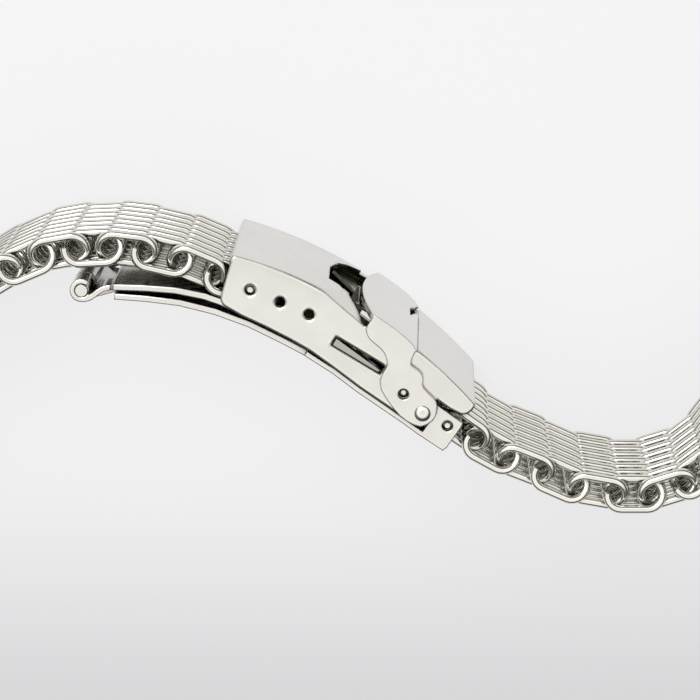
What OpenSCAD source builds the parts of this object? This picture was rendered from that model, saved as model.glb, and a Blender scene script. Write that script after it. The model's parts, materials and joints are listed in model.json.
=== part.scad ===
// Shark mesh watch strap with a fold-over clasp, closed, standing on its far edge.
// Lengths are in millimetres. Z runs across the strap, so every hinge turns about Z.
// The clasp is drawn in its own flat frame: x along the cover, y out of the wrist.

/* [Mesh] */
// Round wire that every coil is wound from
wire_d = 1.05; // [0.9:0.05:1.1]
// Radius of the leaning bends at both sides of a coil, to the wire's middle
lean_r = 1.9; // [1.85:0.05:2]
// Straight length between the bends of a coil
straight = 3.2; // [3:0.1:3.4]
// Whole turns in one coil, across the strap
turns = 7; // [6:1:8]
// Bore of the tube in each free end, for the watch's own spring bar
end_bore_d = 1.8; // [1.5:0.05:1.9]

/* [Clasp] */
// Free width beside the mesh inside the cover
mesh_play = 0.2; // [0.1:0.05:0.5]
// Sheet of the cover's side walls
wall_t = 0.9; // [0.7:0.05:1.1]
// Sheet of the cover's top
top_t = 0.8; // [0.6:0.05:0.85]
// Outer radius of the long folds between the cover's top and its walls, at their widest
fold_r = 0.9; // [0.7:0.05:1]
// Sheet of the flap and its two ears
flap_t = 0.8; // [0.6:0.05:1]
// Sheet of the two folding blades
blade_t = 0.75; // [0.6:0.05:0.8]
// Body of the clasp's two spring bars
bar_d = 1.4; // [1.3:0.05:1.5]
// Tips of those spring bars
tip_d = 0.7; // [0.6:0.05:0.9]
// Holes that take the tips
hole_d = 1.35; // [1.2:0.05:1.5]
// Pin that joins the two blades
blade_pin_d = 1.7; // [1.5:0.05:1.8]
// Pin that joins the upper blade to the cover
cover_pin_d = 1.1; // [0.9:0.05:1.2]
// Dome heads of the rivets that the flap turns on
dome_d = 2.05; // [1.8:0.05:2.3]

/* [Hidden] */
$fn = 48;
slip = 0.08;
dome_h = 0.35;
rivet_d = 1;
run = 0.1;

mesh_w = 2 * turns * lean_r * 0.704 + wire_d;
cover_z = dome_h + flap_t + slip;
cover_w = mesh_w + 2 * (mesh_play + wall_t);
near_z = cover_z + cover_w;
in_z = cover_z + wall_t;
in_w = mesh_w + 2 * mesh_play;
mesh_z = in_z + mesh_play;
mid_z = cover_z + cover_w / 2;

// A coil of wire: its bends lean by the angle of a 44, 117, 125 triangle, which keeps every length short
lean_a = asin(0.352);
bend_r = lean_r * 0.936;
half_pitch = lean_r * 0.704;
levels = 2 * turns;

// Where the clasp lies: its corner and its tilt, seen from above
clasp_at = [-14.15, 11.79];
clasp_tilt = -32.36;
// Moves the middle of the strap's outline onto the origin
centre = [4.63, 3.29];

// Fixed points of the clasp, in its own frame
left_bar = [4.04, -2.55];
hole_2 = [7.9, -1.89];
hole_3 = [11.71, -1.33];
slot_mid = [19.48, -2.47];
slot_l = 7.1;
slot_h = 1.32;
slot_a = 0.5;
cover_pin = [26.64, -3.45];
dome = [29.91, -4.25];
right_bar = [33.45, -4.15];
blade_pin = [-13.28, -14.02];

// The cover: its walls end at a flat arc, and its top rises above that arc by the folds' radius
rim_r = 90;
rim = [17.47, 1.7];
arch_r = 60;
crown = [17.2, rim[1] + fold_r];
cover_end = 34.94;
wall_line = [[0, 3], [0, 0], [1.35, -4.9], [1.62, -5.5], [2.2, -5.9], [4.78, -5.84], [8.06, -5.44], [11.51, -5.18],
    [14.2, -5.1], [17.5, -5.35], [21.9, -5.78], [26.8, -6.02], [28.6, -5.8], [29.6, -5.6], [30.4, -5.4], [31, -4.9],
    [31.15, -4.2], [30.9, -3.5], [30.6, -2.9], [30.55, -2], [32.5, -2.15], [34.2, -2], [34.75, -1.5],
    [cover_end, -0.6], [cover_end, 3]];
// The opening in its top, as distances along the cover and back from the near edge
window_line = [[12, 7], [13.4, 6.5], [14.2, 5.2], [14.9, 3.4], [16.1, 2.4], [17.2, 1.45], [18.2, 0.6], [18.4, 0.6],
    [18.4, 1.5], [24.86, 1.5], [24.86, 20.9], [22, 20.9], [22, 20.5], [16.2, 20.5], [14.2, 19.6], [12.7, 17.7],
    [11.9, 13.8]];
window_low = 0.9;
// The thumb's slanted scoop in the near fold
thumb_at = [14.1, 1.7];
thumb_fall = -9.1;
thumb_lean = 17.1;

// The flap's top from its bowed lip to its right end, and the notch in its right edge seen from above
flap_top = [[16.3, 3.02], [18.4, 3.14], [20, 3.08], [21.5, 2.96], [23, 2.78], [24.2, 2.52], [25.15, 2.1]];
lip_r = 37;
lip_at = 16.45;
flap_notch = [[23.55, 6.6], [24.9, 1.3], [26, 1.3], [26, 5.85], [24.75, 5.85], [23.65, 10.5]];
flap_end = [25.15, 1.95];
seat_ends = [16.15, 25.3];
ear_line = [[18.42, 3.14], [18.36, 1.46], [18.46, 1.02], [18.7, 0.72], [18.97, 0.48], [19.35, 0.28], [19.75, 0.15],
    [20.44, 0.05], [21.2, -0.05], [21.8, -0.25], [22.3, -0.55], [22.66, -0.91], [22.95, -1.25], [23.08, -1.57],
    [23.1, -2.6], [23.35, -3.6], [24, -4.4], [25.13, -5.02], [26.5, -5.6], [27.7, -5.98], [28.8, -6.1], [29.8, -6.04],
    [30.6, -5.8], [31.1, -5.2], [31.44, -4.34], [31.42, -3.7], [31.25, -3.13], [30.87, -2.44], [30.5, -2.1],
    [30.03, -1.92], [29.2, -1.75], [28.36, -1.51], [27.95, -1.15], [27.75, -0.65], [27.42, -0.24], [26.9, -0.02],
    [26.3, 0.05], [25.6, 0.08], [25.42, 0.22], [25.2, 0.66], [25.08, 1.2], [25, 2.16], [24.2, 2.52], [23, 2.78],
    [21.5, 2.96], [20, 3.08]];

// Middle lines of the folding blades, from the pin that joins them
tongue_line = [[-12.74, -14.96], [-12.42, -14.76], [-12.1, -14.46], [-11.86, -14.1], [-11.66, -13.6], [-11.44, -13],
    [-11.15, -12.47], [-10.8, -12.08], [-10.4, -11.8], [-10, -11.5]];
tongue_t = 0.68;
tongue_relief = [[-10.75, -11.2], [-10.44, -11], [-9.98, -11.95], [-10.26, -12.3]];
relief_l = 0.35;
// The rolled knuckle is open between these directions, where the strip starts and ends
roll_open = [2, 80];
upper_line = [[-10.3, -11.55], [-7, -9.6], [-3.6, -7.8], [-0.2, -6.52], [1.8, -6.06], [4.8, -5.62], [8, -5.12],
    [12, -4.75], [16, -4.6], [20, -4.52], [24, -4.45], [26.64, -4.38]];
lower_line = [[-9.5, -12.4], [-6.1, -10.6], [-2.3, -8.82], [1.9, -7.46], [6.3, -6.55], [11, -6.1], [14.2, -5.9]];
floor_line = [[14, -5.7], [18, -5.78], [21.9, -6.16], [26.8, -6.4], [28.6, -6.5], [31, -6.7], [34.7, -6.82]];
flange_line = [[31.3, -6.9], [31.3, -3.4], [30.95, -2.6], [34.87, -2.86], [34.95, -3.4], [34.85, -6.6], [34.5, -7.1]];
floor_t = 0.6;
knuckle_r = 1.42;
cover_knuckle_r = 1.3;
blade_w = mesh_w - 0.4;
slim_w = 16.4;
side_knuckle = 4.2;

// What the flap holds and what the buttons push against, in the middle of the cover
guide_w = 5;
guide_line = [[8.8, 0.85], [11.3, 1.1], [12.3, 0.2], [13.6, -1.2], [17.7, -1.75]];
guide_t = 0.6;
catch_rod = [16.9, 1.5];
catch_d = 0.6;
catch_l = 8.6;
shelf_v = 1.1;
spring_wire = 0.28;
spring_r = 0.4;
spring_at = [19.18, -2.87];
button_t = 0.7;
button_gap = 0.05;
button_sunk = 0.3;
// The catch that each button's nib drops behind, on the lower blade
hook_t = 0.7;
hook_in = 0.69;

// Each coil's step to the next joint and its heading, from the clasp outward
left_step = [4.61, 4.64, 4.5, 4.28, 4.16, 4.1, 4.5, 4.5, 4.5, 4.5, 4.5, 4.5, 4.5];
left_head = [161.1, 156.4, 166.7, 173.1, 182.6, 190, 203, 211, 215, 214, 208, 200, 192];
right_step = [4.11, 4.79, 4.55, 4.81, 5, 4.2, 4.35, 4.4, 4.4, 4.4, 4.4, 4.4, 4.4];
right_head = [-35.3, -29.5, -22, -24.5, -10.2, 0, 18, 38, 54, 62, 64, 60, 54];
coils = 13;
// The farthest that a first coil's middle may lie from its bar
bar_reach = 2.15;
// How far a first coil sits off the line of its joints, toward the strap's inside
left_ride = 0.12;
right_ride = 0.3;

function turn(p, a) = [p[0] * cos(a) - p[1] * sin(a), p[0] * sin(a) + p[1] * cos(a)];
function to_world(p) = turn(p, clasp_tilt) + clasp_at;
function along(p, l, a) = [p[0] + l * cos(a), p[1] + l * sin(a)];
function joint(from, steps, heads, i) =
    i == 0 ? from : along(joint(from, steps, heads, i - 1), steps[i - 1], heads[i - 1]);

module clasp() {
    translate([centre[0] + clasp_at[0], centre[1] + clasp_at[1], 0]) rotate([0, 0, clasp_tilt]) children();
}

// A flat outline in the clasp's frame, from z upward
module plate(z, t) {
    translate([0, 0, z]) linear_extrude(t) children();
}

module post(p, z, l, d) {
    translate([p[0], p[1], z]) cylinder(h = l, d = d);
}

// Sheet of one thickness along a middle line
function side_step(line, i) =
    let (a = line[max(i - 1, 0)], b = line[min(i + 1, len(line) - 1)], d = b - a, l = norm(d)) [-d[1] / l, d[0] / l];

module sheet_line(line, t) {
    n = len(line);
    polygon(concat([for (i = [0:n - 1]) line[i] + side_step(line, i) * t / 2],
        [for (i = [n - 1:-1:0]) line[i] - side_step(line, i) * t / 2]));
}

// The flap thins out at its right end. Its seat follows its underside, a little longer at both ends.
flap_last = len(flap_top) - 1;
flap_under = [for (i = [0:flap_last]) i == flap_last ? flap_end : flap_top[i] - [0, flap_t]];
seat_points = [for (i = [0:flap_last])
    [i == 0 ? seat_ends[0] : i == flap_last ? seat_ends[1] : flap_under[i][0], flap_under[i][1] - slip]];

module arch(r) {
    translate([crown[0], crown[1] - arch_r]) circle(r = r, $fn = 360);
}

module half_ring(from, sweep, r, lean, x, z) {
    translate([x, 0, z]) rotate([lean, 0, 0]) rotate([0, 0, from])
        rotate_extrude(angle = sweep) translate([r, 0]) circle(d = wire_d, $fn = 32);
}

// A straight of one level along x, its seam on the outer side of the coil
module straight_wire(y, z) {
    translate([-straight / 2, y, z]) rotate([0, 90, 0]) rotate([0, 0, sign(y) * 90])
        cylinder(h = straight, d = wire_d, $fn = 32);
}

// One coil on its middle, rising from z = 0 to the mesh's width. Its bends climb, its straights are level.
module coil() {
    base = wire_d / 2;
    top = base + levels * half_pitch;
    half_ring(90, 100, bend_r, 0, -straight / 2, base);
    for (k = [0:turns - 1]) {
        z = base + 2 * k * half_pitch;
        straight_wire(bend_r, z);
        half_ring(-90, 180, lean_r, -lean_a, straight / 2, z + half_pitch / 2);
        straight_wire(-bend_r, z + half_pitch);
        half_ring(90, 180, lean_r, lean_a, -straight / 2, z + half_pitch * 3 / 2);
    }
    straight_wire(bend_r, top);
    translate([straight / 2, 0, top - half_pitch / 2]) rotate([0, 180, 0]) half_ring(90, 100, lean_r, -lean_a, 0, 0);
}

// The middle of coil i of a side
function middle(from, steps, heads, i) = centre + along(joint(from, steps, heads, i),
    i == 0 ? min(bar_reach, steps[0] / 2) : steps[i] / 2, heads[i]);

// Places coil i of a side; every second coil is turned over, so that their edges hook into each other
module mesh_coil(from, steps, heads, i, flip, back, ride) {
    at = middle(from, steps, heads, i);
    translate([at[0], at[1], mesh_z]) rotate([0, 0, heads[i] + (back ? 180 : 0)])
        translate([0, i == 0 ? ride : 0, 0]) {
            if (flip) translate([0, 0, mesh_w]) rotate([180, 0, 0]) coil();
            else coil();
        }
}

module left_coil(i) {
    color("silver") mesh_coil(to_world(left_bar), left_step, left_head, i, i % 2 == 0, true, -left_ride);
}

module right_coil(i) {
    color("silver") mesh_coil(to_world(right_bar), right_step, right_head, i, i % 2 == 1, false, right_ride);
}

// The tube inside a free end, which a watch's spring bar passes through
module end_tube(from, steps, heads) {
    at = middle(from, steps, heads, coils - 1);
    translate([at[0], at[1], mesh_z]) rotate([0, 0, heads[coils - 1]])
        translate([straight / 2, 0, 0]) difference() {
            cylinder(h = mesh_w, d = 2 * bend_r - wire_d - 0.02);
            translate([0, 0, -1]) cylinder(h = mesh_w + 2, d = end_bore_d);
        }
}

// A full turn of the cover's section, whose corners are rounded where the walls fold into the top
module folded() {
    outside = 3;
    translate([rim[0], rim[1] - rim_r]) rotate_extrude($fn = 360) polygon(concat(
        [[rim_r / 2, cover_z]],
        [for (a = [0:15:90]) [rim_r + fold_r * sin(a), cover_z + fold_r * (1 - cos(a))]],
        [[rim_r + outside, cover_z + fold_r], [rim_r + outside, near_z - fold_r]],
        [for (a = [90:-15:0]) [rim_r + fold_r * sin(a), near_z - fold_r * (1 - cos(a))]],
        [[rim_r / 2, near_z]]));
}

// The opening in the top, cut from above down to one height
module window(low) {
    translate([0, 5, near_z]) rotate([90, 0, 0]) linear_extrude(5 - low) polygon([for (p = window_line) [p[0], -p[1]]]);
}

// The frame of the thumb's scoop: its x runs down the fold and its z out of the near wall
module at_thumb() {
    translate([thumb_at[0], thumb_at[1], near_z]) rotate([0, 0, thumb_fall]) rotate([thumb_lean, 0, 0]) children();
}

module clasp_cover() {
    bore_l = wall_t / 2;
    color("gainsboro") clasp() difference() {
        intersection() {
            folded();
            union() {
                for (z = [cover_z, near_z - wall_t])
                    plate(z, wall_t) intersection() {
                        arch(arch_r);
                        polygon(wall_line);
                    }
                plate(cover_z, cover_w) intersection() {
                    difference() {
                        arch(arch_r);
                        arch(arch_r - top_t);
                    }
                    translate([0, -3]) square([cover_end, 6.5]);
                }
                difference() {
                    at_thumb() translate([-0.4, -top_t, -4]) cube([4.45, top_t, 4.4]);
                    window(-3);
                }
            }
        }
        // the opening in the top, the thumb's scoop beside it and the seat of the flap
        window(window_low);
        at_thumb() translate([-4, 0, -4]) cube([8.45, 3, 6]);
        plate(cover_z - 1, cover_w + 2) polygon(concat(seat_points, [[seat_ends[1], 5], [seat_ends[0], 5]]));
        for (p = [left_bar, hole_2, hole_3])
            post(p, cover_z - 1, cover_w + 2, hole_d);
        post(cover_pin, cover_z - 1, cover_w + 2, cover_pin_d);
        for (z = [cover_z - 1, near_z - bore_l])
            post(cover_pin, z, 1 + bore_l, hole_d);
        post(dome, cover_z - 1, cover_w + 2, rivet_d);
        translate([slot_mid[0], slot_mid[1], cover_z - 1]) rotate([0, 0, slot_a])
            translate([-slot_l / 2, -slot_h / 2, 0]) cube([slot_l, slot_h, cover_w + 2]);
    }
}

// The flap's top is bowed at its left end, for a fingernail, and its ears are flat
module safety_flap() {
    top = near_z + slip + flap_t;
    color("gainsboro") clasp() difference() {
        union() {
            difference() {
                intersection() {
                    plate(dome_h, top - dome_h) polygon(concat(flap_top, [for (i = [flap_last:-1:0]) flap_under[i]]));
                    translate([lip_at + lip_r, 5, mid_z]) rotate([90, 0, 0]) cylinder(h = 5, r = lip_r, $fn = 180);
                }
                translate([0, 5, 0]) rotate([90, 0, 0]) linear_extrude(5) polygon(flap_notch);
            }
            for (z = [dome_h, near_z + slip])
                plate(z, flap_t) polygon(ear_line);
        }
        post(cover_pin, -1, near_z + 4, hole_d);
        post(dome, -1, near_z + 4, rivet_d + run);
    }
}

// A short rivet on each side, its dome outside and its shank through the ear and the wall
module flap_rivets() {
    shank = flap_t + slip + wall_t;
    dome_r = (dome_h * dome_h + dome_d * dome_d / 4) / (2 * dome_h);
    color("silver") clasp() {
        for (side = [0, 1])
            translate([dome[0], dome[1], side == 0 ? dome_h : near_z + slip + flap_t]) rotate([side == 0 ? 180 : 0, 0, 0]) {
                intersection() {
                    translate([0, 0, dome_h - dome_r]) sphere(r = dome_r);
                    translate([-2, -2, 0]) cube([4, 4, 2]);
                }
                translate([0, 0, -shank]) cylinder(h = shank, d = rivet_d);
            }
    }
}

// The spring tongue under the flap, which rubs past the catch rod
module flap_hook() {
    color("gainsboro") clasp() plate(mid_z - guide_w / 2 + 0.4, guide_w - 0.8)
        polygon([[17.75, 2.29], [17.75, 1.5], [17.32, 0.95], [17.6, 0.65], [18.05, 0.9], [18.3, 1.6], [18.3, 2.32]]);
}

// The spring plate in the cover: it holds the buttons' springs, the catch rod between two cheeks, and a shelf
module spring_guide() {
    cheek = 0.6;
    end = catch_l / 2;
    color("silver") clasp() {
        plate(mid_z - guide_w / 2, guide_w) union() {
            sheet_line(guide_line, guide_t);
            polygon([[17.5, -1.5], [17.5, -3.5], [21.3, -3.5], [21.3, -1.5]]);
        }
        plate(mid_z - end - cheek, catch_l + 2 * cheek) polygon([[16.4, -1.3], [16.4, -1.9], [17.5, -1.9], [17.5, -1.3]]);
        for (z = [mid_z - end - cheek, mid_z + end])
            plate(z, cheek) polygon([[16.4, 1.75], [16.4, -1.9], [17.5, -1.9], [17.5, 1.75]]);
        post(catch_rod, mid_z - end - cheek / 2, catch_l + cheek, catch_d);
        translate([0, shelf_v, 0]) rotate([90, 0, 0]) linear_extrude(0.4) polygon([[13, in_z + 1.9],
            [16, mid_z - end - cheek / 2], [17.3, mid_z - end - cheek / 3], [17.3, in_z + 0.3], [13, in_z + 0.3]]);
    }
}

// A button's plate behind the wall, its bar sunk in the slot, and a nib above the lower blade's catch
module button(near) {
    inner = near ? near_z - wall_t - button_gap - button_t : in_z + button_gap;
    reach = button_gap + wall_t - button_sunk;
    bar_top = [[0.22 - slot_l / 2, slot_h / 2 - 0.29], [slot_l / 2 - 0.33, slot_h / 2 - 0.87]];
    clasp() {
        translate([slot_mid[0], slot_mid[1], inner]) rotate([0, 0, slot_a]) {
            linear_extrude(button_t) polygon(concat([[4.2, -0.45], [4.2, -1], [-4.2, -1], [-4.2, 0.96]], bar_top));
            translate([0, 0, near ? 0 : -reach]) linear_extrude(button_t + reach)
                polygon(concat(bar_top, [[bar_top[1][0], slip - slot_h / 2], [bar_top[0][0], slip - slot_h / 2]]));
            translate([1.9, -1.24, near ? 0.15 : 0]) cube([0.6, 0.4, button_t - 0.15]);
        }
    }
}

module button_near() {
    color("silver") button(true);
}

module button_far() {
    color("silver") button(false);
}

// A wound compression spring that rises from z = 0 to l
module wound(l, r, wire, rounds, steps, sides) {
    rise = l - wire;
    n = rounds * steps;
    points = [for (i = [0:n], k = [0:sides - 1])
        let (a = i * 360 / steps, b = k * 360 / sides, q = r + wire / 2 * cos(b))
            [q * cos(a), q * sin(a), wire / 2 + rise * i / n + wire / 2 * sin(b)]];
    skin = [for (i = [0:n - 1], k = [0:sides - 1])
        let (m = (k + 1) % sides) [[i * sides + k, (i + 1) * sides + k, (i + 1) * sides + m],
            [i * sides + k, (i + 1) * sides + m, i * sides + m]]];
    polyhedron(points, concat([for (pair = skin, face = pair) face], [[for (k = [0:sides - 1]) k]],
        [[for (k = [sides - 1:-1:0]) n * sides + k]]));
}

push_l = in_w / 2 - button_gap - button_t - guide_w / 2;

module button_spring_near() {
    color("silver") clasp() translate([spring_at[0], spring_at[1], mid_z + guide_w / 2])
        wound(push_l, spring_r, spring_wire, 7, 12, 6);
}

module button_spring_far() {
    color("silver") clasp() translate([spring_at[0], spring_at[1], mid_z - guide_w / 2 - push_l])
        wound(push_l, spring_r, spring_wire, 7, 12, 6);
}

// A spring bar: a tube between the walls, a tip out of each end and the spring that holds them apart
module bar_tube(p) {
    color("silver") clasp() difference() {
        post(p, in_z + 0.1, in_w - 0.2, bar_d);
        post(p, in_z, in_w, tip_d + 0.05);
    }
}

module bar_tips(p) {
    inside = 3;
    color("gainsboro") clasp() {
        post(p, cover_z + 0.25, wall_t - 0.25 + inside, tip_d);
        post(p, near_z - wall_t - inside, wall_t - 0.25 + inside, tip_d);
        for (z = [in_z - 0.02, near_z - wall_t - 0.08])
            post(p, z, 0.1, bar_d - 0.3);
    }
}

module bar_spring(p) {
    color("silver") clasp() translate([p[0], p[1], in_z + 3]) wound(in_w - 6, (tip_d - 0.2) / 2, 0.2, 14, 8, 4);
}

module left_bar_tube() {
    bar_tube(left_bar);
}

module left_bar_tips() {
    bar_tips(left_bar);
}

module left_bar_spring() {
    bar_spring(left_bar);
}

module right_bar_tube() {
    bar_tube(right_bar);
}

module right_bar_tips() {
    bar_tips(right_bar);
}

module right_bar_spring() {
    bar_spring(right_bar);
}

// Both hinge pins have thinner noses
module cover_hinge_pin() {
    nose = wall_t / 2 + 0.05;
    color("silver") clasp() {
        post(cover_pin, cover_z + nose, cover_w - 2 * nose, cover_pin_d);
        post(cover_pin, cover_z + 0.1, cover_w - 0.2, tip_d);
    }
}

module blade_hinge_pin() {
    color("silver") clasp() {
        post(blade_pin, mid_z - blade_w / 2 + 1, blade_w - 2, blade_pin_d);
        post(blade_pin, mid_z - blade_w / 2 + 0.3, blade_w - 0.6, blade_pin_d - 0.2);
    }
}

// Upper blade: wide outside the cover, slim inside it, with two outer knuckles and one long one
module upper_blade() {
    color("gainsboro") clasp() difference() {
        union() {
            plate(mid_z - blade_w / 2, blade_w) intersection() {
                sheet_line(upper_line, blade_t);
                polygon([[-12, -13], [-12, -4], [6, -4], [6, -8]]);
            }
            plate(mid_z - slim_w / 2, slim_w) sheet_line(upper_line, blade_t);
            for (z = [mid_z - blade_w / 2 + 0.4, mid_z + blade_w / 2 - 0.4 - side_knuckle]) {
                plate(z, side_knuckle) sheet_line(tongue_line, tongue_t);
                difference() {
                    post(blade_pin, z, side_knuckle, 2 * knuckle_r);
                    translate([blade_pin[0], blade_pin[1], z - 1]) linear_extrude(side_knuckle + 2)
                        polygon([[0, 0], for (a = roll_open) [3 * cos(a), 3 * sin(a)]]);
                }
            }
            post(cover_pin, mid_z - slim_w / 2, slim_w, 2 * cover_knuckle_r);
        }
        for (z = [mid_z - blade_w / 2, mid_z + blade_w / 2 - 0.4 - relief_l])
            plate(z, 0.4 + relief_l) polygon(tongue_relief);
        post(blade_pin, 0, near_z + 2, blade_pin_d);
        post(cover_pin, 0, near_z + 2, cover_pin_d + run);
    }
}

// Lower blade: a plain strip outside, then a floor as wide as the cover with two upright ends for the right bar
module lower_blade() {
    middle_w = blade_w - 0.8 - 2 * side_knuckle - 0.4;
    color("gainsboro") clasp() difference() {
        union() {
            plate(mid_z - blade_w / 2, blade_w) sheet_line(lower_line, blade_t);
            plate(mid_z - middle_w / 2, middle_w) polygon([[-9.4, -12.05], [-9.2, -12.65], [-11.4, -15.05],
                [-13.4, -15.4], [-12.6, -13.45]]);
            post(blade_pin, mid_z - middle_w / 2, middle_w, 2 * knuckle_r);
            plate(cover_z, cover_w) sheet_line(floor_line, floor_t);
            for (z = [cover_z, near_z - wall_t])
                plate(z, wall_t) polygon(flange_line);
            for (z = [in_z + hook_in, near_z - wall_t - hook_in - hook_t])
                plate(z, hook_t) polygon([[20.6, -6.2], [20.6, -4], [20.9, -3.8], [21.9, -3.8], [22.2, -4], [22.2, -6.3]]);
        }
        post(blade_pin, 0, near_z + 2, blade_pin_d + run);
        post(right_bar, 0, near_z + 2, hole_d);
    }
}

module left_end_tube() {
    color("silver") end_tube(to_world(left_bar), left_step, left_head);
}

module right_end_tube() {
    color("silver") end_tube(to_world(right_bar), right_step, right_head);
}

clasp_cover();
safety_flap();
flap_rivets();
flap_hook();
spring_guide();
button_near();
button_far();
button_spring_near();
button_spring_far();
left_bar_tube();
left_bar_tips();
left_bar_spring();
right_bar_tube();
right_bar_tips();
right_bar_spring();
cover_hinge_pin();
blade_hinge_pin();
upper_blade();
lower_blade();
left_end_tube();
right_end_tube();
left_coil(0);  // left_coil_01
left_coil(1);  // left_coil_02
left_coil(2);  // left_coil_03
left_coil(3);  // left_coil_04
left_coil(4);  // left_coil_05
left_coil(5);  // left_coil_06
left_coil(6);  // left_coil_07
left_coil(7);  // left_coil_08
left_coil(8);  // left_coil_09
left_coil(9);  // left_coil_10
left_coil(10);  // left_coil_11
left_coil(11);  // left_coil_12
left_coil(12);  // left_coil_13
right_coil(0);  // right_coil_01
right_coil(1);  // right_coil_02
right_coil(2);  // right_coil_03
right_coil(3);  // right_coil_04
right_coil(4);  // right_coil_05
right_coil(5);  // right_coil_06
right_coil(6);  // right_coil_07
right_coil(7);  // right_coil_08
right_coil(8);  // right_coil_09
right_coil(9);  // right_coil_10
right_coil(10);  // right_coil_11
right_coil(11);  // right_coil_12
right_coil(12);  // right_coil_13
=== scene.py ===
"""Dresses a mesh watch strap and its fold-over clasp: steel finishes, rounded edges and round wire."""

import json
import math

import bmesh
import bpy
from bpy.props import FloatProperty, FloatVectorProperty, IntProperty, PointerProperty
from mathutils import Matrix, Vector


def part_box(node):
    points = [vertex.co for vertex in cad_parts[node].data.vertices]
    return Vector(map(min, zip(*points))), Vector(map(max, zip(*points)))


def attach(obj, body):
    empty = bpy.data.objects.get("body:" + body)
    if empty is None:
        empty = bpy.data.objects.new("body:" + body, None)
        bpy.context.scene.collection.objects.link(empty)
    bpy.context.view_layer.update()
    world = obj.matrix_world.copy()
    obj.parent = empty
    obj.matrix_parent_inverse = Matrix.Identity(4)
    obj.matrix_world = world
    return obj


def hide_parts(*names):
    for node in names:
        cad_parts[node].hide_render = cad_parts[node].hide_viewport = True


bl_info = {
    "name": "Mesh watch strap",
    "version": (1, 0, 0),
    "blender": (4, 5, 0),
    "location": "3D View > Sidebar > Strap",
    "description": "Builds the looks of a mesh watch strap with a fold-over clasp",
    "category": "Object",
}

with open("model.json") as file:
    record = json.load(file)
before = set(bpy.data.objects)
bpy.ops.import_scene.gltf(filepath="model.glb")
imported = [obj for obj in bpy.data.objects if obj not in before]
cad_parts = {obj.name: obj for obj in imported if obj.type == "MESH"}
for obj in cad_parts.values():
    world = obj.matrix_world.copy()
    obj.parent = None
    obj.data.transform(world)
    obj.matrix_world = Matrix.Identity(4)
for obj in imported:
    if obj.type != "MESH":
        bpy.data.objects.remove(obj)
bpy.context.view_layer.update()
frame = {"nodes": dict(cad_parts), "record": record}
MM = 0.001

# Size of the faint smudges, and height of the grain, on every steel
SMUDGE = 5 * MM
RELIEF = 0.01 * MM

# The coils' slant, as the sine of its angle
SLANT = 0.352

# Corners of the CAD mesh closer than this are one, and faces that turn less are one flat face
WELD = 0.002 * MM
FLAT_ANGLE = math.radians(0.4)

# Edges that turn less than the first stay as they are, and shading breaks at edges that turn more
# than the second
EDGE_ANGLE = math.radians(35)
SHARP_ANGLE = math.radians(40)

# The cover's pin and the flap's rivet in the clasp's own frame: along the cover, and out of the wrist
COVER_PIN = Vector((26.64 * MM, -3.45 * MM))
RIVET = Vector((29.91 * MM, -4.25 * MM))

# Part of the paper's shade that is painted light: the paper glows, to the camera and in reflections
GLOW = 0.82

# Where the paper's painted falloff of light begins and ends to change, across the strap, and where its two
# middle shades lie between these
PAPER_NEAR = -50 * MM
PAPER_FAR = 14 * MM
BEFORE = 0.33
BESIDE = 0.59

# The studio by height, from 0 at the horizon to 1 overhead, as heights and their brightness
STUDIO = ((0.12, 0.16), (0.48, 0.18), (0.6, 0.36), (0.7, 1.3), (0.84, 1.3))
HORIZON = (0.16, 0.16, 0.15, 1)
OVERHEAD = (1.0, 1.0, 0.98, 1)

# The colour sockets of a mix node
DARK = 6
PALE = 7
MIXED = 2


def hex_colour(code):
    """An sRGB hex colour as the linear colour that a shader takes."""
    channels = [int(code[i : i + 2], 16) / 255 for i in (0, 2, 4)]
    linear = [c / 12.92 if c <= 0.04045 else ((c + 0.055) / 1.055) ** 2.4 for c in channels]
    return (*linear, 1.0)


class StrapWireSizes(bpy.types.PropertyGroup):
    """Sizes of the wire coils that make the mesh."""

    wire: FloatProperty(
        name="Wire",
        description="Thickness of the round wire",
        default=1.05 * MM,
        subtype="DISTANCE",
        unit="LENGTH",
    )
    lean_radius: FloatProperty(
        name="Leaning bend",
        description="Radius of a bend along its own slant",
        default=1.9 * MM,
        subtype="DISTANCE",
        unit="LENGTH",
    )
    straight: FloatProperty(
        name="Straight",
        description="Straight length between bends",
        default=3.2 * MM,
        subtype="DISTANCE",
        unit="LENGTH",
    )
    turns: IntProperty(
        name="Turns",
        description="Whole turns across the strap",
        default=7,
        min=2,
    )
    bar_reach: FloatProperty(
        name="First coil's reach",
        description="From a bar to the middle of the coil that hangs on it, at most",
        default=2.15 * MM,
        subtype="DISTANCE",
        unit="LENGTH",
    )
    left_ride: FloatProperty(
        name="Left ride",
        description="First left coil's shift inward",
        default=0.12 * MM,
        subtype="DISTANCE",
        unit="LENGTH",
    )
    right_ride: FloatProperty(
        name="Right ride",
        description="First right coil's shift outward",
        default=0.3 * MM,
        subtype="DISTANCE",
        unit="LENGTH",
    )
    around: IntProperty(
        name="Faces round the wire",
        description="Faces round the wire's section",
        default=20,
        min=8,
    )


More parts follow.
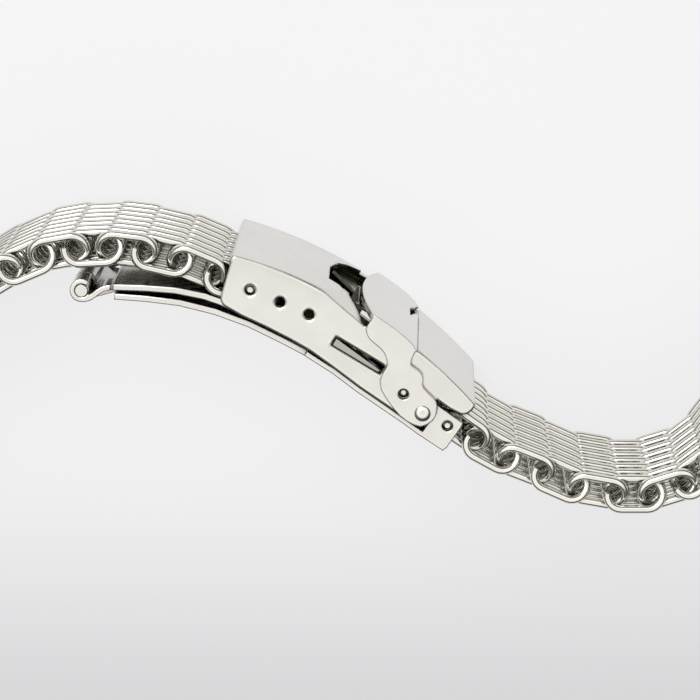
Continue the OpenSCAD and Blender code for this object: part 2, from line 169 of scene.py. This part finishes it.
class StrapSheetSizes(bpy.types.PropertyGroup):
    """Rounding of the clasp's sheet edges and of its pins."""

    cover_edge: FloatProperty(
        name="Cover's edge",
        description="Rounding of the cover's cut edges",
        default=0.12 * MM,
        subtype="DISTANCE",
        unit="LENGTH",
    )
    flap_edge: FloatProperty(
        name="Flap's edge",
        description="Rounding of the flap's cut edges",
        default=0.17 * MM,
        subtype="DISTANCE",
        unit="LENGTH",
    )
    flap_fold: FloatProperty(
        name="Flap's fold",
        description="Outer radius where the flap's ears are bent down",
        default=0.55 * MM,
        subtype="DISTANCE",
        unit="LENGTH",
    )
    blade_edge: FloatProperty(
        name="Blade's edge",
        description="Rounding of the blades' cut edges",
        default=0.1 * MM,
        subtype="DISTANCE",
        unit="LENGTH",
    )
    small_edge: FloatProperty(
        name="Small part's edge",
        description="Rounding of the buttons, tubes, rivets, hook and spring guide",
        default=0.07 * MM,
        subtype="DISTANCE",
        unit="LENGTH",
    )
    pin_end: FloatProperty(
        name="Pin's end",
        description="Rounding of the ends of pins and spring bars",
        default=0.26 * MM,
        subtype="DISTANCE",
        unit="LENGTH",
    )


class StrapFinish(bpy.types.PropertyGroup):
    """Colours of the steel, as it reflects under white light, and of the painted shade in its gaps."""

    wire_colour: FloatVectorProperty(
        name="Wire",
        description="Tint of the tumbled wire",
        default=hex_colour("E6E3DC"),
        subtype="COLOR",
        size=4,
    )
    sheet_colour: FloatVectorProperty(
        name="Sheet",
        description="Tint of the clasp's sheet",
        default=hex_colour("E4E1DC"),
        subtype="COLOR",
        size=4,
    )
    # Darker tint of the parts inside the clasp: partly their unpolished steel, partly painted shade
    unpolished_and_shaded_colour: FloatVectorProperty(
        name="Inner steel",
        description="Tint of the unpolished parts inside",
        default=hex_colour("B4B2A8"),
        subtype="COLOR",
        size=4,
    )
    # Painted shade: the steel's colour turns toward this where the sky is hidden, in gaps and inside the
    # clasp
    painted_shade_colour: FloatVectorProperty(
        name="Crevices",
        description="Tint of the steel deep in its gaps, where polish and light do not reach",
        default=hex_colour("34352C"),
        subtype="COLOR",
        size=4,
    )
    # How far from a gap the painted shade reaches
    painted_shade_reach: FloatProperty(
        name="Crevice reach",
        description="Clear distance over which the steel brightens to its open tint",
        default=1.4 * MM,
        subtype="DISTANCE",
        unit="LENGTH",
    )


class StrapStage(bpy.types.PropertyGroup):
    """The paper that the strap lies on. It glows with painted light that falls off to grey toward the
    viewer.
    """

    # The paper's shades are painted light, bright behind the strap and grey in front
    painted_paper_back: FloatVectorProperty(
        name="Paper behind",
        description="Shade of the paper behind the strap",
        default=hex_colour("F5F5F6"),
        subtype="COLOR",
        size=4,
    )
    painted_paper_middle: FloatVectorProperty(
        name="Paper beside",
        description="Shade of the paper under the strap",
        default=hex_colour("F4F3F5"),
        subtype="COLOR",
        size=4,
    )
    painted_paper_near: FloatVectorProperty(
        name="Paper before",
        description="Shade of the paper just in front of the strap",
        default=hex_colour("EEEEF0"),
        subtype="COLOR",
        size=4,
    )
    painted_paper_front: FloatVectorProperty(
        name="Paper in front",
        description="Shade of the paper nearest the viewer",
        default=hex_colour("D4D4D6"),
        subtype="COLOR",
        size=4,
    )
    floor_size: FloatProperty(
        name="Floor",
        description="Side of the floor",
        default=4.0,
        subtype="DISTANCE",
        unit="LENGTH",
    )


def add_node(tree, kind, links=(), inputs=None, **settings):
    """Adds a node with settings, values for unlinked inputs, and links of (node, output, input)."""
    node = tree.nodes.new(kind)
    for key, value in settings.items():
        setattr(node, key, value)
    for key, value in (inputs or {}).items():
        node.inputs[key].default_value = value
    for source, output, target in links:
        tree.links.new(source.outputs[output], node.inputs[target])
    return node


def steel(name, colour, gloss, grain_mm, grain_depth, **more):
    """Bare stainless steel. Its gloss wavers with the wheel that finished it; deep in its gaps its colour
    is darkened, a painted shade.

    stretch draws the grain out along the axes with small numbers. reach widens the painted shade in the
    gaps. side_gloss is the roughness of faces across the strap. soft_mm is the radius to which the wheel
    rubbed the edges.
    inside is the height below which faces that look at the viewer lie in the clasp and take the painted
    shade colour in full.
    """
    material = bpy.data.materials.get(name)
    if material:
        return material
    finish = bpy.context.scene.strap_finish
    material = bpy.data.materials.new(name)
    material.use_nodes = True
    tree = material.node_tree
    tree.nodes.clear()

    place = add_node(tree, "ShaderNodeTexCoord")
    stretch = {"Scale": more.get("stretch", (1, 1, 1))}
    turned = add_node(tree, "ShaderNodeMapping", [(place, "Object", "Vector")], stretch)
    fine = {"Scale": 1 / (grain_mm * MM), "Detail": 3.0, "Roughness": 0.6}
    grain = add_node(tree, "ShaderNodeTexNoise", [(turned, "Vector", "Vector")], fine)
    coarse = {"Scale": 1 / SMUDGE, "Detail": 3.0, "Roughness": 0.55}
    smudge = add_node(tree, "ShaderNodeTexNoise", [(place, "Object", "Vector")], coarse)

    # Roughness: by the side that a face looks to, and wavering
    facing = add_node(tree, "ShaderNodeSeparateXYZ", [(place, "Normal", "Vector")])
    across = add_node(tree, "ShaderNodeMath", [(facing, "Z", 0)], operation="ABSOLUTE")
    span = {"From Min": 0.3, "From Max": 0.95, "To Min": gloss, "To Max": more.get("side_gloss", gloss)}
    base = add_node(tree, "ShaderNodeMapRange", [(across, "Value", "Value")], span)
    both = add_node(tree, "ShaderNodeMath", [(grain, "Fac", 0), (smudge, "Fac", 1)], operation="ADD")
    span = {"From Min": 0.7, "From Max": 1.3, "To Min": 0.8, "To Max": 1.25}
    waver = add_node(tree, "ShaderNodeMapRange", [(both, "Value", "Value")], span)
    factors = [(base, "Result", 0), (waver, "Result", 1)]
    roughness = add_node(tree, "ShaderNodeMath", factors, operation="MULTIPLY")

    # Tint: painted shade, darkened toward the shade colour where the sky is hidden, with faint random
    # smudges
    gap = {"Distance": finish.painted_shade_reach * more.get("reach", 1.0)}
    open_sky = add_node(tree, "ShaderNodeAmbientOcclusion", inputs=gap, samples=8, only_local=False)
    span = {"From Min": 0.08, "From Max": 0.8, "To Min": 0.0, "To Max": 1.0}
    clear = add_node(
        tree, "ShaderNodeMapRange", [(open_sky, "AO", "Value")], span, interpolation_type="SMOOTHSTEP"
    )
    span = {"From Min": 0.35, "From Max": 0.65, "To Min": 0.93, "To Max": 1.0}
    shade = add_node(tree, "ShaderNodeMapRange", [(smudge, "Fac", "Value")], span)
    factors = [(clear, "Result", 0), (shade, "Result", 1)]
    painted_shade_and_smudge = add_node(tree, "ShaderNodeMath", factors, operation="MULTIPLY")
    # Painted shade: faces inside the clasp that look at the viewer take the shade colour in full
    if "inside" in more:
        spot = add_node(tree, "ShaderNodeSeparateXYZ", [(place, "Object", "Vector")])
        wall = {1: more["inside"]}
        behind = add_node(tree, "ShaderNodeMath", [(spot, "Z", 0)], wall, operation="LESS_THAN")
        to_viewer = add_node(tree, "ShaderNodeMath", [(facing, "Z", 0)], {1: 0.5}, operation="GREATER_THAN")
        factors = [(behind, "Value", 0), (to_viewer, "Value", 1)]
        hidden = add_node(tree, "ShaderNodeMath", factors, operation="MULTIPLY")
        kept = add_node(tree, "ShaderNodeMath", [(hidden, "Value", 1)], {0: 1.0}, operation="SUBTRACT")
        factors = [(painted_shade_and_smudge, "Value", 0), (kept, "Value", 1)]
        painted_shade_and_smudge = add_node(tree, "ShaderNodeMath", factors, operation="MULTIPLY")
    ends = {DARK: tuple(finish.painted_shade_colour), PALE: tuple(colour)}
    tint = add_node(tree, "ShaderNodeMix", [(painted_shade_and_smudge, "Value", "Factor")], ends, data_type="RGBA")

    # Relief: the grain, on edges that the wheel rubbed round
    relief = {"Strength": grain_depth, "Distance": RELIEF}
    bump = add_node(tree, "ShaderNodeBump", [(grain, "Fac", "Height")], relief)
    if "soft_mm" in more:
        softened = add_node(tree, "ShaderNodeBevel", inputs={"Radius": more["soft_mm"] * MM}, samples=8)
        tree.links.new(softened.outputs["Normal"], bump.inputs["Normal"])
    shader = add_node(
        tree,
        "ShaderNodeBsdfPrincipled",
        [(roughness, "Value", "Roughness"), (bump, "Normal", "Normal"), (tint, MIXED, "Base Color")],
        {"Metallic": 1.0},
    )
    add_node(tree, "ShaderNodeOutputMaterial", [(shader, "BSDF", "Surface")])
    return material


def wire_steel():
    """Drawn 1.4404 wire, tumbled to a soft polish: clear but slightly blurred reflections."""
    colour = bpy.context.scene.strap_finish.wire_colour
    return steel("tumbled_steel_wire", colour, gloss=0.13, grain_mm=0.25, grain_depth=0.12, reach=1.7)


def flap_steel():
    """Buffed sheet that handling has softened: blurred reflections with faint smudges."""
    colour = bpy.context.scene.strap_finish.sheet_colour
    return steel(
        "buffed_steel_flap",
        colour,
        gloss=0.2,
        grain_mm=0.5,
        grain_depth=0.1,
        reach=0.32,
        soft_mm=0.4,
    )


def blade_steel():
    """Mirror-buffed blades: they show the dark underside of the mesh above them, and a wide painted shade
    darkens them under it.
    """
    return steel(
        "mirror_buffed_steel",
        bpy.context.scene.strap_finish.sheet_colour,
        gloss=0.12,
        grain_mm=0.6,
        grain_depth=0.08,
        reach=3.2,
        soft_mm=0.4,
    )


def cover_steel():
    """Cover brushed to an even satin on top, where reflections smear, and buffed on its sides."""
    return steel(
        "satin_brushed_steel",
        bpy.context.scene.strap_finish.sheet_colour,
        gloss=0.24,
        grain_mm=0.12,
        grain_depth=0.15,
        stretch=(0.08, 0.08, 1.0),
        reach=0.32,
        side_gloss=0.15,
        soft_mm=0.75,
        # Painted shade: the cover's faces below this height that look at the viewer render in the shade
        # colour
        inside=15 * MM,
    )


def pin_steel():
    """Turned pins, bright on their ends, with painted shade that darkens them down in their holes."""
    colour = bpy.context.scene.strap_finish.sheet_colour
    return steel("turned_steel_pins", colour, gloss=0.14, grain_mm=0.2, grain_depth=0.1, reach=0.5)


def inner_steel():
    """Plates and springs inside the clasp, as they came from the press: barely polished, and grey partly
    from painted shade.
    """
    colour = bpy.context.scene.strap_finish.unpolished_and_shaded_colour
    return steel("stamped_and_shaded_spring_steel", colour, gloss=0.28, grain_mm=0.3, grain_depth=0.15)


def button_steel():
    """Sheared plates of the buttons: grey across the cut, with the fine bands that the shear leaves. Their
    grey is partly painted shade, and a wide painted shade darkens them in the clasp.
    """
    return steel(
        "sheared_and_shaded_button_steel",
        bpy.context.scene.strap_finish.unpolished_and_shaded_colour,
        gloss=0.2,
        grain_mm=0.35,
        grain_depth=0.9,
        stretch=(1.0, 0.1, 0.1),
        reach=3.0,
    )


def body_of_node(node):
    """The body that a CAD node belongs to."""
    bodies = frame["record"]["behaviour"]["bodies"]
    return next(body for body, nodes in bodies.items() if node in nodes)


def dress(node, material):
    """Gives a CAD node its finish."""
    mesh = frame["nodes"][node].data
    mesh.materials.clear()
    mesh.materials.append(material)


def joint_place(name):
    """Where a joint's axis crosses the plane across the strap."""
    joint = next(j for j in frame["record"]["behaviour"]["joints"] if j["name"] == name)
    return Vector(joint["pos_m"][:2])


def clasp_point(place):
    """A point in the clasp's own frame: along the cover, and out of the wrist."""
    here = joint_place("flap_hinge") - joint_place("blade_unfold")
    there = RIVET - COVER_PIN
    turn = math.atan2(there.y, there.x) - math.atan2(here.y, here.x)
    return Matrix.Rotation(turn, 2) @ (place.xy - joint_place("flap_hinge")) + RIVET


def soft_sheet(node, material, width, fold=None, fold_radius=0.0, segments=3):
    """A copy of a CAD solid with its edges rounded. Edges that pass the fold test get the fold's radius."""
    mesh = frame["nodes"][node].data.copy()
    mesh.name = node + "_sheet"
    work = bmesh.new()
    work.from_mesh(mesh)
    bmesh.ops.remove_doubles(work, verts=work.verts, dist=WELD)
    bmesh.ops.dissolve_limit(
        work, angle_limit=FLAT_ANGLE, verts=work.verts, edges=work.edges, delimit={"NORMAL"}
    )
    layers = work.edges.layers.float
    weights = layers.get("bevel_weight_edge") or layers.new("bevel_weight_edge")
    widest = max(width, fold_radius)
    for edge in work.edges:
        if len(edge.link_faces) != 2 or edge.calc_face_angle(0) < EDGE_ANGLE:
            continue
        edge[weights] = fold_radius / widest if fold and fold(edge) else width / widest
    work.to_mesh(mesh)
    work.free()
    piece = bpy.data.objects.new(node + "_sheet", mesh)
    bpy.context.scene.collection.objects.link(piece)
    mesh.materials.clear()
    mesh.materials.append(material)
    bevel = piece.modifiers.new("rounded edges", "BEVEL")
    bevel.width = widest
    bevel.segments = segments
    bevel.limit_method = "WEIGHT"
    bevel.harden_normals = False
    bevel.miter_outer = "MITER_ARC"
    evaluated = piece.evaluated_get(bpy.context.evaluated_depsgraph_get())
    rounded = bpy.data.meshes.new_from_object(evaluated)
    piece.modifiers.clear()
    piece.data = rounded
    rounded.shade_smooth()
    rounded.set_sharp_from_angle(angle=SHARP_ANGLE)
    flats = piece.modifiers.new("flat faces stay flat", "WEIGHTED_NORMAL")
    flats.keep_sharp = True
    flats.weight = 100
    evaluated = piece.evaluated_get(bpy.context.evaluated_depsgraph_get())
    piece.data = bpy.data.meshes.new_from_object(evaluated)
    piece.modifiers.clear()
    piece.data.name = node + "_sheet"
    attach(piece, body_of_node(node))
    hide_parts(node)
    return piece


def coil_path():
    """Middle line of one flat coil round its own middle, rising from the far edge, in metres."""
    sizes = bpy.context.scene.strap_wire
    lean = math.asin(SLANT)
    flat_radius = sizes.lean_radius * math.cos(lean)
    rise = sizes.lean_radius * math.sin(lean) * 2
    half = sizes.straight / 2
    base = sizes.wire / 2
    points = []

    def bend(side, start, end, radius, tilt, level, steps=12):
        for i in range(steps + 1):
            angle = math.radians(start + (end - start) * i / steps)
            x = radius * math.cos(angle)
            y = radius * math.sin(angle)
            points.append(Vector((side * half + x, y * math.cos(tilt), level + y * math.sin(tilt))))

    bend(-1, 190, 90, flat_radius, 0, base, 8)
    for turn in range(sizes.turns):
        level = base + 2 * turn * rise
        bend(1, 90, -90, sizes.lean_radius, -lean, level + rise / 2)
        bend(-1, 270, 90, sizes.lean_radius, lean, level + rise * 3 / 2)
    bend(1, 90, -10, sizes.lean_radius, lean, base + 2 * sizes.turns * rise - rise / 2, 8)
    return points


def wire_tree():
    """Geometry nodes that sweep a round section along a path."""
    tree = bpy.data.node_groups.get("round_wire")
    if tree:
        return tree
    tree = bpy.data.node_groups.new("round_wire", "GeometryNodeTree")
    face = tree.interface
    face.new_socket("Geometry", in_out="INPUT", socket_type="NodeSocketGeometry")
    face.new_socket("Wire radius", in_out="INPUT", socket_type="NodeSocketFloat")
    face.new_socket("Faces round", in_out="INPUT", socket_type="NodeSocketInt")
    face.new_socket("Finish", in_out="INPUT", socket_type="NodeSocketMaterial")
    face.new_socket("Geometry", in_out="OUTPUT", socket_type="NodeSocketGeometry")
    entry = add_node(tree, "NodeGroupInput")
    section = add_node(
        tree,
        "GeometryNodeCurvePrimitiveCircle",
        [(entry, "Wire radius", "Radius"), (entry, "Faces round", "Resolution")],
    )
    swept = add_node(
        tree,
        "GeometryNodeCurveToMesh",
        [(entry, "Geometry", "Curve"), (section, "Curve", "Profile Curve")],
        {"Fill Caps": True},
    )
    smooth = add_node(tree, "GeometryNodeSetShadeSmooth", [(swept, "Mesh", "Geometry")])
    real = add_node(tree, "GeometryNodeRealizeInstances", [(smooth, "Geometry", "Geometry")])
    coat = add_node(
        tree, "GeometryNodeSetMaterial", [(real, "Geometry", "Geometry"), (entry, "Finish", "Material")]
    )
    add_node(tree, "NodeGroupOutput", [(coat, "Geometry", "Geometry")])
    return tree


def swept_mesh(name, points, radius, around, material):
    """A round wire along the points, as a closed mesh."""
    curve = bpy.data.curves.new(name, "CURVE")
    curve.dimensions = "3D"
    spline = curve.splines.new("POLY")
    spline.points.add(len(points) - 1)
    for target, point in zip(spline.points, points):
        target.co = (*point, 1)
    holder = bpy.data.objects.new(name, curve)
    bpy.context.scene.collection.objects.link(holder)
    sweep = holder.modifiers.new("sweep", "NODES")
    sweep.node_group = wire_tree()
    sockets = sweep.node_group.interface.items_tree
    ids = {item.name: item.identifier for item in sockets if item.in_out == "INPUT"}
    sweep[ids["Wire radius"]] = radius
    sweep[ids["Faces round"]] = around
    sweep[ids["Finish"]] = material
    evaluated = holder.evaluated_get(bpy.context.evaluated_depsgraph_get())
    mesh = bpy.data.meshes.new_from_object(evaluated)
    bpy.data.objects.remove(holder)
    return mesh


def chain_points(side):
    """The joints of one side's coils, then the middle of its free end's bore."""
    record = frame["record"]
    joints = [j for j in record["behaviour"]["joints"] if j["name"].startswith(side)]
    points = [Vector((*j["pos_m"][:2], 0)) for j in joints if j["name"].endswith("_bend")]
    bore = next(m for m in record["mounts"] if m["name"] == side + "_lug_bore")
    return points, Vector((*bore["pos_m"][:2], 0))


class STRAP_OT_mesh_coils(bpy.types.Operator):
    """Make each coil of the mesh from round wire"""

    bl_idname = "strap.mesh_coils"
    bl_label = "Mesh coils"

    def execute(self, context):
        sizes = context.scene.strap_wire
        steel_wire = wire_steel()
        upright = swept_mesh("coil", coil_path(), sizes.wire / 2, sizes.around, steel_wire)
        width = max(v.co.z for v in upright.vertices) + min(v.co.z for v in upright.vertices)
        turned_over = Matrix.Translation((0, 0, width)) @ Matrix.Rotation(math.pi, 4, "X")
        for side, sign in (("left", -1), ("right", 1)):
            joints, bore = chain_points(side)
            low_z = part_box(side + "_coil_02")[0].z - min(v.co.z for v in upright.vertices)
            for i, joint in enumerate(joints):
                towards = (joints[i + 1] if i + 1 < len(joints) else bore) - joint
                heading = math.atan2(towards.y, towards.x)
                # The last coil ends at its bore, and each bar holds its first coil close
                if i + 1 < len(joints):
                    reach = towards.length / 2
                else:
                    reach = towards.length - sizes.straight / 2
                ride = 0.0
                if i == 0:
                    reach = min(reach, sizes.bar_reach)
                    ride = -sizes.left_ride if side == "left" else sizes.right_ride
                middle = joint + towards.normalized() * reach
                facing = heading + (math.pi if side == "left" else 0)
                place = (
                    Matrix.Translation((middle.x, middle.y, low_z))
                    @ Matrix.Rotation(facing, 4, "Z")
                    @ Matrix.Translation((0, ride, 0))
                )
                flipped = i % 2 == (0 if side == "left" else 1)
                if flipped:
                    place = place @ turned_over
                node = f"{side}_coil_{i + 1:02d}"
                mesh = upright.copy()
                mesh.name = node + "_wire"
                mesh.transform(place)
                piece = bpy.data.objects.new(node + "_wire", mesh)
                context.scene.collection.objects.link(piece)
                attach(piece, body_of_node(node))
                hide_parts(node)
        bpy.data.meshes.remove(upright)
        return {"FINISHED"}


class STRAP_OT_clasp_sheets(bpy.types.Operator):
    """Round the edges and folds of the cover, the flap and the two blades"""

    bl_idname = "strap.clasp_sheets"
    bl_label = "Clasp sheets"

    def execute(self, context):
        sizes = context.scene.strap_sheet
        low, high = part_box("safety_flap")
        skin = 0.02 * MM
        first, last = 18 * MM, 25.3 * MM
        above = 2 * MM

        def flap_bend(edge):
            """The ridge between the flap's top and an ear's outer face."""
            for corner in (v.co for v in edge.verts):
                at = clasp_point(corner)
                if min(abs(corner.z - low.z), abs(corner.z - high.z)) >= skin:
                    return False
                if at.y <= above or not first < at.x < last:
                    return False
            return True

        soft_sheet("clasp_cover", cover_steel(), sizes.cover_edge)
        soft_sheet(
            "safety_flap",
            flap_steel(),
            sizes.flap_edge,
            flap_bend,
            sizes.flap_fold,
            segments=4,
        )
        soft_sheet("upper_blade", blade_steel(), sizes.blade_edge)
        soft_sheet("lower_blade", blade_steel(), sizes.blade_edge)
        return {"FINISHED"}


class STRAP_OT_small_parts(bpy.types.Operator):
    """Finish the pins, rivets, bars, buttons, springs and end tubes"""

    bl_idname = "strap.small_parts"
    bl_label = "Small parts"

    def execute(self, context):
        sizes = context.scene.strap_sheet
        for node in ("cover_hinge_pin", "blade_hinge_pin", "left_bar_tips", "right_bar_tips"):
            soft_sheet(node, pin_steel(), sizes.pin_end, segments=5)
        for node in ("left_bar_tube", "right_bar_tube", "flap_rivets", "left_end_tube", "right_end_tube"):
            soft_sheet(node, pin_steel(), sizes.small_edge)
        for node in ("flap_hook", "spring_guide"):
            soft_sheet(node, inner_steel(), sizes.small_edge)
        for node in ("button_near", "button_far"):
            soft_sheet(node, button_steel(), sizes.small_edge)
        for node in ("left_bar_spring", "right_bar_spring", "button_spring_near", "button_spring_far"):
            dress(node, inner_steel())
        return {"FINISHED"}


class STRAP_OT_stage(bpy.types.Operator):
    """Lay the pale floor, light it and place the camera"""

    bl_idname = "strap.stage"
    bl_label = "Floor, light and camera"

    def execute(self, context):
        look = context.scene.strap_stage
        side = look.floor_size / 2
        mesh = bpy.data.meshes.new("floor")
        corners = [(-side, -side, 0), (side, -side, 0), (side, side, 0), (-side, side, 0)]
        mesh.from_pydata(corners, [], [(0, 1, 2, 3)])
        floor = bpy.data.objects.new("floor", mesh)
        context.scene.collection.objects.link(floor)
        mesh.materials.append(floor_paper(look))
        sky(context.scene)
        soft_light("window_softbox", place=(-0.2, 0.4, 0.5), size=0.45, power=1.2)
        camera(context.scene)
        return {"FINISHED"}


def floor_paper(look):
    """Smooth white paper with painted light: it glows, with a painted falloff to grey toward the viewer,
    and keeps the strap's faint shadow.
    """
    material = bpy.data.materials.new("white_paper")
    material.use_nodes = True
    tree = material.node_tree
    tree.nodes.clear()
    place = add_node(tree, "ShaderNodeTexCoord")
    split = add_node(tree, "ShaderNodeSeparateXYZ", [(place, "Object", "Vector")])
    along = add_node(
        tree,
        "ShaderNodeMapRange",
        [(split, "Y", "Value")],
        {"From Min": PAPER_NEAR, "From Max": PAPER_FAR, "To Min": 0.0, "To Max": 1.0},
    )
    # Painted falloff of light: the paper's glow turns grey toward the viewer
    painted_falloff = add_node(tree, "ShaderNodeValToRGB", [(along, "Result", "Fac")])
    painted_falloff.color_ramp.interpolation = "B_SPLINE"
    stops = painted_falloff.color_ramp.elements
    stops[0].color = tuple(look.painted_paper_front)
    stops[1].color = tuple(look.painted_paper_back)
    before = stops.new(BEFORE)
    before.color = tuple(look.painted_paper_near)
    beside = stops.new(BESIDE)
    beside.color = tuple(look.painted_paper_middle)
    glow = add_node(tree, "ShaderNodeEmission", [(painted_falloff, "Color", "Color")], {"Strength": 1.0})
    paper = add_node(tree, "ShaderNodeBsdfDiffuse", [(painted_falloff, "Color", "Color")])
    path = add_node(tree, "ShaderNodeLightPath")
    # Painted light: the glow shows to the camera and in reflections, other rays see plain diffuse paper
    shown = add_node(
        tree,
        "ShaderNodeMath",
        [(path, "Is Camera Ray", 0), (path, "Is Glossy Ray", 1)],
        operation="MAXIMUM",
    )
    part = add_node(tree, "ShaderNodeMath", [(shown, "Value", 0)], {1: GLOW}, operation="MULTIPLY")
    mix = add_node(
        tree, "ShaderNodeMixShader", [(part, "Value", "Fac"), (paper, "BSDF", 1), (glow, "Emission", 2)]
    )
    add_node(tree, "ShaderNodeOutputMaterial", [(mix, "Shader", "Surface")])
    return material


def sky(scene):
    """A studio: bright overhead, darker toward the horizon, and darkest in front and to the right."""
    world = bpy.data.worlds.new("studio")
    scene.world = world
    world.use_nodes = True
    tree = world.node_tree
    tree.nodes.clear()
    place = add_node(tree, "ShaderNodeTexCoord")
    split = add_node(tree, "ShaderNodeSeparateXYZ", [(place, "Generated", "Vector")])
    height = add_node(tree, "ShaderNodeValToRGB", [(split, "Z", "Fac")])
    stops = height.color_ramp.elements
    stops[0].position = 0.0
    stops[0].color = HORIZON
    stops[1].position = 1.0
    stops[1].color = OVERHEAD
    for at, level in STUDIO:
        stop = stops.new(at)
        stop.color = (level, level, level * 0.97, 1)
    window = {1: (-0.5, 0.86, 0.0)}
    to_window = add_node(
        tree, "ShaderNodeVectorMath", [(place, "Generated", 0)], window, operation="DOT_PRODUCT"
    )
    side = add_node(
        tree,
        "ShaderNodeMapRange",
        [(to_window, "Value", "Value")],
        {"From Min": -0.9, "From Max": 0.9, "To Min": 0.35, "To Max": 1.6},
    )
    overhead = add_node(
        tree,
        "ShaderNodeMapRange",
        [(split, "Z", "Value")],
        {"From Min": 0.5, "From Max": 0.9, "To Min": 0.0, "To Max": 1.0},
    )
    even = add_node(
        tree, "ShaderNodeMix", [(overhead, "Result", "Factor"), (side, "Result", "A")], {"B": 1.0}
    )
    light = add_node(
        tree,
        "ShaderNodeBackground",
        [(height, "Color", "Color"), (even, "Result", "Strength")],
    )
    add_node(tree, "ShaderNodeOutputWorld", [(light, "Background", "Surface")])


def soft_light(name, place, size, power):
    """A round lamp turned to the strap."""
    data = bpy.data.lights.new(name, "AREA")
    data.shape = "DISK"
    data.size = size
    data.energy = power
    lamp = bpy.data.objects.new(name, data)
    lamp.location = place
    lamp.rotation_euler = (-Vector(place)).to_track_quat("-Z", "Y").to_euler()
    bpy.context.scene.collection.objects.link(lamp)


def camera(scene):
    """A long lens high over the strap, as in the photograph."""
    focal_px = 3000
    image_px = 700
    px_per_mm = 8.2
    near_z = 23.2064 * MM
    across = Vector((-0.028, -0.2415, 0.970)).normalized()
    along = Vector((1, 0, 0.0289)).normalized()
    up = across.cross(along).normalized()
    along = up.cross(across).normalized()
    turn = Matrix((along, up, across)).transposed()
    centre = Vector((4.63 * MM, 3.29 * MM, near_z))
    distance = focal_px / px_per_mm * MM
    shift = turn @ centre + Vector((0, 0, distance))
    data = bpy.data.cameras.new("camera")
    data.sensor_width = 36
    data.lens = focal_px / image_px * 36
    data.clip_start = 0.01
    data.clip_end = 20
    eye = bpy.data.objects.new("camera", data)
    pose = Matrix.Translation(-shift) @ turn.to_4x4()
    eye.matrix_world = pose.inverted()
    scene.collection.objects.link(eye)
    scene.camera = eye
    scene.view_settings.view_transform = "Standard"


class STRAP_PT_panel(bpy.types.Panel):
    """Lists the strap's operators and their sizes"""

    bl_label = "Mesh strap"
    bl_idname = "STRAP_PT_panel"
    bl_space_type = "VIEW_3D"
    bl_region_type = "UI"
    bl_category = "Strap"

    def draw(self, context):
        layout = self.layout
        for name in GROUPS:
            group = getattr(context.scene, name)
            for key in group.__annotations__:
                layout.prop(group, key)
        for operator in OPERATORS:
            layout.operator(operator.bl_idname)


GROUPS = {
    "strap_wire": StrapWireSizes,
    "strap_sheet": StrapSheetSizes,
    "strap_finish": StrapFinish,
    "strap_stage": StrapStage,
}
OPERATORS = (STRAP_OT_mesh_coils, STRAP_OT_clasp_sheets, STRAP_OT_small_parts, STRAP_OT_stage)


def register():
    for name, group in GROUPS.items():
        bpy.utils.register_class(group)
        setattr(bpy.types.Scene, name, PointerProperty(type=group))
    for kind in (*OPERATORS, STRAP_PT_panel):
        bpy.utils.register_class(kind)


def unregister():
    for kind in (STRAP_PT_panel, *reversed(OPERATORS)):
        bpy.utils.unregister_class(kind)
    for name, group in reversed(GROUPS.items()):
        delattr(bpy.types.Scene, name)
        bpy.utils.unregister_class(group)


def main():
    register()
    bpy.ops.strap.mesh_coils()
    bpy.ops.strap.clasp_sheets()
    bpy.ops.strap.small_parts()
    bpy.ops.strap.stage()


if __name__ == "__main__":
    main()
